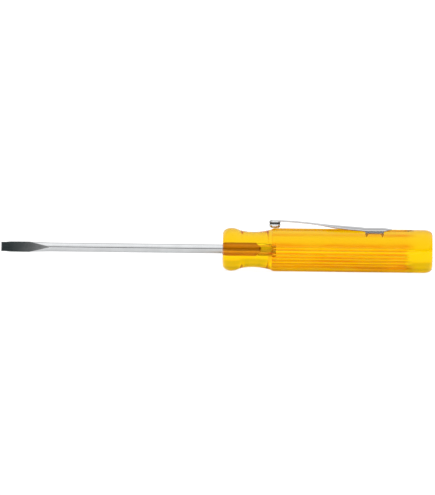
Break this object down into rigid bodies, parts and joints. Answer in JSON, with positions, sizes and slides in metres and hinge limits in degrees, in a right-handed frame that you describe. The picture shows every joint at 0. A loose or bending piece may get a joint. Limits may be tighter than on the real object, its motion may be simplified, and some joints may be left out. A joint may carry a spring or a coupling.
{
  "type": "pocket screwdriver",
  "caption": "Pocket screwdriver: slotted cabinet tip on a round chromed shank, fluted transparent amber handle, and a sprung pocket clip with a ball end.",
  "frame": {"origin": "centre of the blade's tip face, on the shank axis", "axes": "+X along the shank from the tip towards the handle, +Z towards the pocket clip, and the broad faces of the slotted tip look along -Y and +Y"},
  "size_m": [0.1485, 0.0148, 0.0177],
  "materials": {
    "amber_plastic": "polished transparent amber cellulose acetate, lightly handled",
    "plated_steel": "bright plated shank, blackened and ground at the tip",
    "spring_steel": "bright plated spring sheet"
  },
  "bodies": {
    "tool": {"handle": "amber_plastic", "blade": "plated_steel", "clip_base": "spring_steel"},
    "clip": {"clip_arm": "spring_steel"}
  },
  "joints": [
    {"name": "clip_flex", "type": "hinge", "parent": "tool", "child": "clip", "pos_m": [0.1237, 0, 0.008], "axis": [0, 1, 0], "range_deg": [0, 5], "stiffness_Nm_per_rad": 1, "springref_deg": -1.72}
  ]
}
